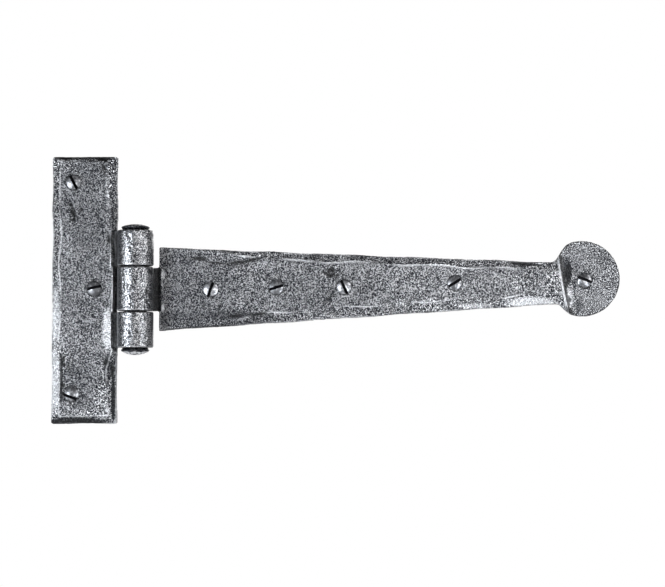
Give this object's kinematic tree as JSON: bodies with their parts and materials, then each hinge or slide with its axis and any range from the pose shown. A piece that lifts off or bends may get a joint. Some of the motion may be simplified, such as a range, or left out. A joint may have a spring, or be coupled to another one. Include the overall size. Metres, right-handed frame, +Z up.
{
  "type": "tee hinge",
  "caption": "Hand-forged tee hinge: a tall back plate and a long tapering strap with a round end, joined by rolled knuckles on a fixed pin, with slotted screws in place.",
  "frame": {"origin": "centre of the back plate's back face", "axes": "+X along the strap away from the plate, +Y out of the back into the door, +Z up along the hinge pin"},
  "size_m": [0.2697, 0.0469, 0.127],
  "materials": {
    "forged_plate": "forged and hammered, pewter patina",
    "forged_strap": "forged and hammered, pewter patina",
    "pin_steel": "dull, darkened ends",
    "screw_steel": "dull, lightly worn"
  },
  "bodies": {
    "frame_leaf": {"back_plate": "forged_plate", "hinge_pin": "pin_steel", "plate_screw_top": "screw_steel", "plate_screw_middle": "screw_steel", "plate_screw_bottom": "screw_steel"},
    "door_leaf": {"strap": "forged_strap", "strap_screw_1": "screw_steel", "strap_screw_2": "screw_steel", "strap_screw_3": "screw_steel", "strap_screw_4": "screw_steel", "strap_screw_5": "screw_steel"}
  },
  "joints": [
    {"name": "strap_swing", "type": "hinge", "parent": "frame_leaf", "child": "door_leaf", "pos_m": [0.02463, -0.00858, 0.0003], "axis": [0, 0, -1], "range_deg": [0, 180]}
  ]
}
